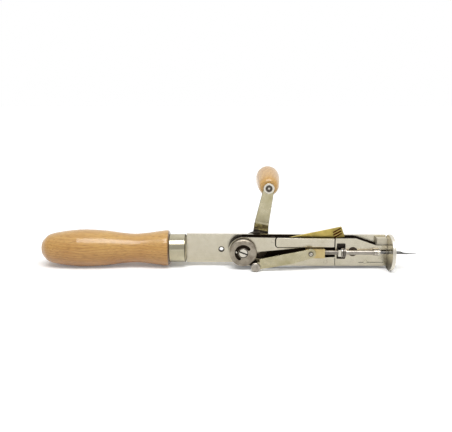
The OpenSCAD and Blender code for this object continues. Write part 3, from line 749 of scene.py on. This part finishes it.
class PUNCH_OT_thumb_lever(bpy.types.Operator):
    """Brass thumb lever, with tarnish in the grooves of its tip"""

    bl_idname = "punch_needle.thumb_lever"
    bl_label = "Thumb lever"

    # Corners further than these from the pin, along the lever, are the tip's and the end's
    tip_at, end_at = 38 * MM, 49.3 * MM

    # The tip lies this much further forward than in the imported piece
    tip_by = 1.1 * MM

    # The end leans forward by this share of the way down from the lever's upper edge
    aslant = 0.14
    upper_edge = 4.8 * MM

    def execute(self, context):
        low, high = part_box("thumb_lever")
        handled = fade("X", high.x - 10.5 * MM, high.x - 7.5 * MM, 0.0, 0.3)
        brass = machined_brass("machined_brass_lever", LEVER_LEAN, smear=handled)
        lever = edged("thumb_lever", brass, 0.2 * MM, shape=self.tip)
        before_grooves = -60 * MM
        smeared(lever, tarnished_brass(), lambda place, normal: place.x > before_grooves
                and low.y + INSIDE / 2 < place.y < (low.y + high.y) / 2)
        return {"FINISHED"}

    def tip(self, place):
        """Moves the grooved tip forward, and files the lever's end aslant."""
        pin = JOINT_AT["lever"]
        along = Vector((math.cos(LEVER_LEAN), 0, -math.sin(LEVER_LEAN)))
        across = Vector((math.sin(LEVER_LEAN), 0, math.cos(LEVER_LEAN)))
        reach = (place - pin).dot(along)
        if reach > self.tip_at:
            place += along * self.tip_by
        if reach > self.end_at:
            place += along * (self.upper_edge - (place - pin).dot(across)) * self.aslant


class PUNCH_OT_gears(bpy.types.Operator):
    """The pair of spur gears between the plates"""

    bl_idname = "punch_needle.gears"
    bl_label = "Gears"

    def execute(self, context):
        for node in ("crank_gear", "drive_pinion"):
            edged(node, oiled_steel(node, "Y"), 0.08 * MM, 1)
        return {"FINISHED"}


class PUNCH_OT_shafts(bpy.types.Operator):
    """Crank shaft with its nut, and drive shaft with its collar"""

    bl_idname = "punch_needle.shafts"
    bl_label = "Shafts"

    def execute(self, context):
        for node in ("crank_shaft", "crank_nut", "drive_shaft", "drive_washer"):
            edged(node, turned_steel(node, "Y"), 0.15 * MM)
        return {"FINISHED"}


class PUNCH_OT_crank_arm(bpy.types.Operator):
    """Flat crank arm with its step, plated along its own length"""

    bl_idname = "punch_needle.crank_arm"
    bl_label = "Crank arm"

    # Along the arm from the crank's axis: the bend, painted dark as a painted reflection, and below it the
    # foot, painted black as painted shade
    bend_from, bend_to = 15.4 * MM, 20 * MM

    # Past its boss the arm is wider on one side: by this much at the first place, by nothing at the second
    boss = 12 * MM
    wider = 1.5 * MM
    widest_at, plain_at = 14 * MM, 58 * MM

    def execute(self, context):
        finish = worn_nickel("worn_nickel_arm", CRANK_LEAN + math.radians(90))
        arm = edged("crank_arm", finish, 0.4 * MM, 3, shape=self.flare)
        # The bend's faces get the dark olive finish: a painted dark reflection
        smeared(arm, bend_shade_nickel("bend_shade_nickel_arm"), lambda place, normal: normal.y < 0
                and self.bend_from < self.reach(place) < self.bend_to)
        # Below the bend the arm's front faces are painted black: painted shade behind the bar
        smeared(arm, blackened_steel("crank_arm"), lambda place, normal: normal.y < 0
                and self.reach(place) < self.bend_from)
        return {"FINISHED"}

    def reach(self, place):
        """How far along the arm from the crank's axis a place lies."""
        return (place.x - JOINT_AT["crank"].x) * math.sin(CRANK_LEAN) + place.z * math.cos(CRANK_LEAN)

    def flare(self, place):
        """Widens the arm on one side towards its bend."""
        reach = self.reach(place)
        across = (place.x - JOINT_AT["crank"].x) * math.cos(CRANK_LEAN) - place.z * math.sin(CRANK_LEAN)
        if reach > self.boss and across > 0:
            push = self.wider * (self.plain_at - reach) / (self.plain_at - self.widest_at)
            place.x += push * math.cos(CRANK_LEAN)
            place.z -= push * math.sin(CRANK_LEAN)


class PUNCH_OT_black_pieces(bpy.types.Operator):
    """Blackened hub disc behind the bar and crank web behind the face disc"""

    bl_idname = "punch_needle.black_pieces"
    bl_label = "Black pieces"

    def execute(self, context):
        for node in ("hub_disc", "crank_web"):
            edged(node, blackened_steel(node), 0.2 * MM)
        return {"FINISHED"}


class PUNCH_OT_knob(bpy.types.Operator):
    """Beech knob that turns on its rivet, with its bright washer"""

    bl_idname = "punch_needle.knob"
    bl_label = "Knob"

    def execute(self, context):
        paint("crank_knob", varnished_beech("varnished_beech_knob", "Y"))
        # Painted shade: a dark ring on the rivet's head round its bright middle
        head = ring(JOINT_AT["knob"], 1.2 * MM, 3.2 * MM)
        edged("knob_rivet", polished_nickel("knob_rivet", "Y", head), 0.3 * MM, 3)
        edged("knob_washer", polished_nickel("knob_washer", "Y"), 0.2 * MM)
        return {"FINISHED"}


class PUNCH_OT_face_disc(bpy.types.Operator):
    """Face disc with its slot, screw and stop pin"""

    bl_idname = "punch_needle.face_disc"
    bl_label = "Face disc"

    def execute(self, context):
        centre = middle("face_disc")
        front, back = (corner.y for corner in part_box("face_disc"))
        # Painted shade: a dark ring on the disc round the screw's head
        round_screw = ring(centre, 3.6 * MM, 4.3 * MM)
        slot_reach = 9 * MM
        disc = edged("face_disc", turned_steel("face_disc", "Y", round_screw), 0.2 * MM)
        # The slot's walls get the dark finish: painted shade
        smeared(disc, painted_shade_finish(), lambda place, normal: front + INSIDE < place.y < back - 2 * INSIDE
                and math.hypot(place.x - centre.x, place.z - centre.z) < slot_reach)
        screw = edged("disc_screw", polished_nickel("disc_screw", "Y"), 0.2 * MM)
        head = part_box("disc_screw")[0].y
        slot_depth = 1.5 * MM
        # The screw's slot gets the dark finish: painted shade
        smeared(screw, painted_shade_finish(), lambda place, normal: head + INSIDE < place.y < head + slot_depth)
        edged("disc_stop_pin", polished_nickel("disc_stop_pin", "Y"), 0.3 * MM, 3)
        return {"FINISHED"}


class PUNCH_OT_rod(bpy.types.Operator):
    """Connecting rod with its crank pin"""

    bl_idname = "punch_needle.rod"
    bl_label = "Connecting rod"

    def execute(self, context):
        edged("connecting_rod", worn_nickel("worn_nickel_rod"), 0.3 * MM, 3)
        edged("crank_pin", grey_steel("crank_pin", "Y"), 0.3 * MM, 3)
        return {"FINISHED"}


class PUNCH_OT_crosshead(bpy.types.Operator):
    """Brass crosshead with its wrist pin"""

    bl_idname = "punch_needle.crosshead"
    bl_label = "Crosshead"

    def execute(self, context):
        use = settings().metal
        brass = machined_brass("machined_brass_crosshead", clean=use.pale_brass, dull=use.pale_brass_dull)
        edged("crosshead", brass, 0.3 * MM)
        # Painted shade: a dark ring on the wrist pin's head round its middle
        head = ring(middle("wrist_pin"), 1.4 * MM, 2.4 * MM)
        edged("wrist_pin", polished_nickel("wrist_pin", "Y", head), 0.3 * MM, 3)
        return {"FINISHED"}


class PUNCH_OT_needle(bpy.types.Operator):
    """Needle bar, holder with its screw, and hollow needle"""

    bl_idname = "punch_needle.needle"
    bl_label = "Needle"

    # Where the tube is cut open on top, and its bore
    open_from, open_to = 4 * MM, 10.5 * MM
    bore = 1.0 * MM

    # The point comes down by up to this much, more and more between two places, but not below the tube
    down_by = 0.75 * MM
    down_from, down_to = 9 * MM, 13 * MM
    lower_side = -1.3 * MM

    def execute(self, context):
        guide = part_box("guide_block")[0].x
        # Painted shade: the bar grows darker where it goes into the guide
        behind_guide = fade("X", guide, guide + 2 * MM, 0.5, 0.25)
        edged("needle_bar", grey_steel("needle_bar", "X", behind_guide), 0.2 * MM)
        edged("needle_holder", grey_steel("needle_holder", "X"), 0.3 * MM, 3)
        edged("holder_screw", polished_nickel("holder_screw", "Y"), 0.15 * MM)
        needle = edged("needle", needle_steel("needle"), 0.04 * MM, 1, shape=self.point)
        # Inside its cut and its bore the needle gets the dark finish: painted shade
        smeared(needle, painted_shade_finish(), lambda place, normal: self.open_from < place.x < self.open_to
                and (normal.z > 0.2 or math.hypot(place.y, place.z) < self.bore))
        return {"FINISHED"}

    def point(self, place):
        """Brings the point down to the needle's lower side."""
        down = self.down_by * ramp(place.x, self.down_from, self.down_to)
        place.z = max(place.z - down, self.lower_side)


class PUNCH_OT_foot(bpy.types.Operator):
    """Round presser foot with its two screws"""

    bl_idname = "punch_needle.foot"
    bl_label = "Presser foot"

    def execute(self, context):
        # The cloth has rubbed the foot's polish matt
        foot = edged("presser_foot", polished_nickel("presser_foot", "X", roughness=0.36), 0.25 * MM, 3)
        # Painted shade: the foot's back face grows darker towards its lower side
        below = fade("Z", 0.0, -9 * MM, 0.0, 0.7)
        smeared(foot, satin_nickel("satin_nickel_foot", smear=below),
                lambda place, normal: normal.x < -0.9)
        edged("foot_screws", turned_steel("foot_screws", "X"), 0.15 * MM)
        return {"FINISHED"}


class PUNCH_OT_stage(bpy.types.Operator):
    """White floor and room, one softbox and the camera"""

    bl_idname = "punch_needle.stage"
    bl_label = "Stage"

    # Half the floor's width, and how far before the needle's axis its glow is centred
    floor_reach = 4.0
    glow_ahead = 0.06

    # The softbox: its size, where it aims, and where it hangs from there
    box_size = (1.0, 0.55)
    box_aim = Vector((-0.16, 0, 0))
    box_from = Vector((0.05, -0.5, 0.95))

    def execute(self, context):
        self.floor()
        self.room(context)
        self.softbox()
        self.camera(context)
        context.scene.view_settings.view_transform = "Standard"
        return {"FINISHED"}

    def mirrored(self, tree):
        """One for what shows in a mirror or through glass."""
        path = add(tree, "LightPath")
        return add(tree, "Math", {0: path.outputs["Is Glossy Ray"], 1: path.outputs["Is Transmission Ray"]},
                   operation="MAXIMUM").outputs[0]

    def eye(self, tree):
        """One for what the eye sees directly."""
        return add(tree, "LightPath").outputs["Is Camera Ray"]

    def floor(self):
        """A white sweep that keeps the tool's shadow."""
        use = settings().stage
        low = CAD_BOX[0].z
        reach = self.floor_reach
        mesh = bpy.data.meshes.new("floor")
        corners = [(-reach, -reach, low), (reach, -reach, low), (reach, reach, low), (-reach, reach, low)]
        mesh.from_pydata(corners, [], [(0, 1, 2, 3)])
        made, tree = material("white_paper_sweep")
        paper = add(tree, "BsdfDiffuse", {"Color": (0.96, 0.96, 0.955), "Roughness": 1.0})
        seen = add(tree, "Math", {0: self.eye(tree), 1: self.mirrored(tree)}, operation="MAXIMUM")
        place = add(tree, "TexCoord").outputs["Object"]
        away = add(tree, "VectorMath", {0: place, 1: (-use.aim_x, -self.glow_ahead, low)},
                   operation="DISTANCE")
        level = add(tree, "MapRange", {"Value": away.outputs["Value"], "From Min": use.near,
                                       "From Max": use.far, "To Min": use.glow, "To Max": use.far_glow})
        lift = add(tree, "Math", {0: seen.outputs[0], 1: level.outputs[0]}, operation="MULTIPLY")
        glow = add(tree, "Emission", {"Strength": lift.outputs[0]})
        both = add(tree, "AddShader", {0: paper.outputs[0], 1: glow.outputs[0]})
        add(tree, "OutputMaterial", {"Surface": both.outputs[0]})
        mesh.materials.append(made)
        sweep = bpy.data.objects.new("floor", mesh)
        bpy.context.scene.collection.objects.link(sweep)

    def room(self, context):
        """An even white room, white behind the tool and dimmer where the camera stands."""
        use = settings().stage
        world = bpy.data.worlds.new("white_room")
        world.use_nodes = True
        tree = world.node_tree
        tree.nodes.clear()
        look = add(tree, "SeparateXYZ", {0: add(tree, "TexCoord").outputs["Generated"]})
        wall = add(tree, "MapRange", {"Value": look.outputs["Y"], "From Min": -0.3, "From Max": 0.4,
                                      "To Min": use.dim, "To Max": 1.0})
        lit = add(tree, "MapRange", {"Value": self.mirrored(tree), "To Min": use.sky,
                                     "To Max": wall.outputs[0]})
        level = add(tree, "MapRange", {"Value": self.eye(tree), "To Min": lit.outputs[0], "To Max": 1.0})
        light = add(tree, "Background", {"Color": (1, 1, 1), "Strength": level.outputs[0]})
        add(tree, "OutputWorld", {"Surface": light.outputs[0]})
        context.scene.world = world

    def softbox(self):
        """A long softbox above and in front of the tool."""
        lamp = bpy.data.lights.new("softbox", "AREA")
        lamp.shape = "RECTANGLE"
        lamp.size, lamp.size_y = self.box_size
        lamp.energy = settings().stage.lamp
        box = bpy.data.objects.new("softbox", lamp)
        box.location = self.box_aim + self.box_from
        box.rotation_euler = (-self.box_from).to_track_quat("-Z", "Y").to_euler()
        bpy.context.scene.collection.objects.link(box)

    def camera(self, context):
        """A camera in front of the tool and a little above it."""
        use = settings().stage
        lens = bpy.data.cameras.new("camera")
        lens.lens = use.lens
        lens.clip_start = 0.01
        lens.clip_end = 50
        seat = bpy.data.objects.new("camera", lens)
        aim = Vector((-use.aim_x, 0, use.aim_z))
        back = Vector((0, -math.cos(use.tilt), math.sin(use.tilt)))
        seat.location = aim + back * use.distance
        seat.rotation_euler = (-back).to_track_quat("-Z", "Y").to_euler()
        context.scene.collection.objects.link(seat)
        context.scene.camera = seat


STEPS = (
    PUNCH_OT_grip, PUNCH_OT_ferrule, PUNCH_OT_plates, PUNCH_OT_pillars, PUNCH_OT_guide,
    PUNCH_OT_bushes, PUNCH_OT_thumb_lever, PUNCH_OT_gears, PUNCH_OT_shafts, PUNCH_OT_crank_arm,
    PUNCH_OT_black_pieces, PUNCH_OT_knob, PUNCH_OT_face_disc, PUNCH_OT_rod, PUNCH_OT_crosshead,
    PUNCH_OT_needle, PUNCH_OT_foot, PUNCH_OT_stage,
)


class PUNCH_PT_panel(bpy.types.Panel):
    """Lists the steps that finish the tool"""

    bl_idname = "PUNCH_PT_panel"
    bl_label = "Rug punch needle"
    bl_space_type = "VIEW_3D"
    bl_region_type = "UI"
    bl_category = "Punch needle"

    def draw(self, context):
        for step in STEPS:
            self.layout.operator(step.bl_idname)


GROUPS = (WoodSettings, MetalSettings, StageSettings, PunchNeedleSettings)


def register():
    for made in (*GROUPS, *STEPS, PUNCH_PT_panel):
        bpy.utils.register_class(made)
    bpy.types.Scene.punch_needle = PointerProperty(type=PunchNeedleSettings)


def unregister():
    del bpy.types.Scene.punch_needle
    for made in reversed((*GROUPS, *STEPS, PUNCH_PT_panel)):
        bpy.utils.unregister_class(made)


def main():
    register()
    for step in STEPS:
        name = step.bl_idname.split(".")[1]
        getattr(bpy.ops.punch_needle, name)()


if __name__ == "__main__":
    main()
